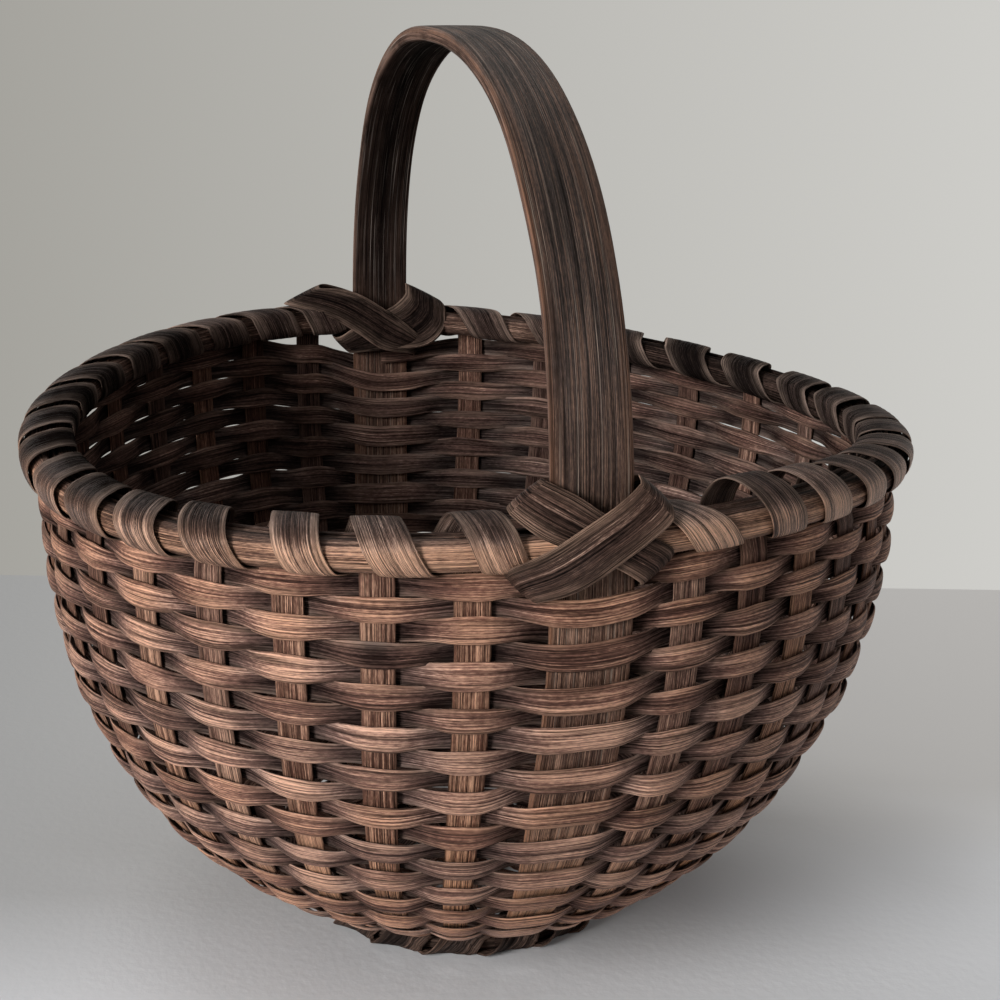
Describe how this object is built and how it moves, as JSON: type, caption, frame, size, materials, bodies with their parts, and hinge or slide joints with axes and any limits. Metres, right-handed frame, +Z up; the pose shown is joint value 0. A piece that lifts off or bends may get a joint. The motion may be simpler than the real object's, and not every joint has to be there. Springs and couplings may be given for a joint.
{
  "type": "gathering basket",
  "caption": "Round gathering basket of woven wood splint with a bowl-shaped body, a lashed double-hoop rim, a foot ring and one fixed bent handle over the middle.",
  "frame": {"origin": "centre of the basket's outline on the floor it stands on", "axes": "+X towards one foot of the handle along the rim's long diameter, +Y across the handle, +Z up"},
  "size_m": [0.3617, 0.3082, 0.32],
  "materials": {
    "handle_wood": "aged, dry, satin where handled",
    "stake_wood": "aged, dry",
    "weaver_wood": "aged, dry",
    "hoop_wood": "aged, dry",
    "lashing_wood": "aged, dry",
    "foot_wood": "aged, dry"
  },
  "bodies": {
    "root": {"handle": "handle_wood", "spoke_1": "stake_wood", "spoke_2": "stake_wood", "spoke_3": "stake_wood", "spoke_4": "stake_wood", "spoke_5": "stake_wood", "spoke_6": "stake_wood", "spoke_7": "stake_wood", "spoke_8": "stake_wood", "added_stake_01": "stake_wood", "added_stake_02": "stake_wood", "added_stake_03": "stake_wood", "added_stake_04": "stake_wood", "added_stake_05": "stake_wood", "added_stake_06": "stake_wood", "added_stake_07": "stake_wood", "added_stake_08": "stake_wood", "added_stake_09": "stake_wood", "added_stake_10": "stake_wood", "added_stake_11": "stake_wood", "added_stake_12": "stake_wood", "added_stake_13": "stake_wood", "added_stake_14": "stake_wood", "added_stake_15": "stake_wood", "weaver_01": "weaver_wood", "weaver_02": "weaver_wood", "weaver_03": "weaver_wood", "weaver_04": "weaver_wood", "weaver_05": "weaver_wood", "weaver_06": "weaver_wood", "weaver_07": "weaver_wood", "weaver_08": "weaver_wood", "weaver_09": "weaver_wood", "weaver_10": "weaver_wood", "weaver_11": "weaver_wood", "weaver_12": "weaver_wood", "weaver_13": "weaver_wood", "outer_hoop": "hoop_wood", "inner_hoop": "hoop_wood", "rim_filler_1": "hoop_wood", "rim_filler_2": "hoop_wood", "rim_lashing_1": "lashing_wood", "rim_lashing_2": "lashing_wood", "handle_lashing_near_1": "lashing_wood", "handle_lashing_near_2": "lashing_wood", "handle_lashing_far_1": "lashing_wood", "handle_lashing_far_2": "lashing_wood", "foot_ring": "foot_wood", "foot_lashing": "foot_wood"}
  },
  "joints": []
}
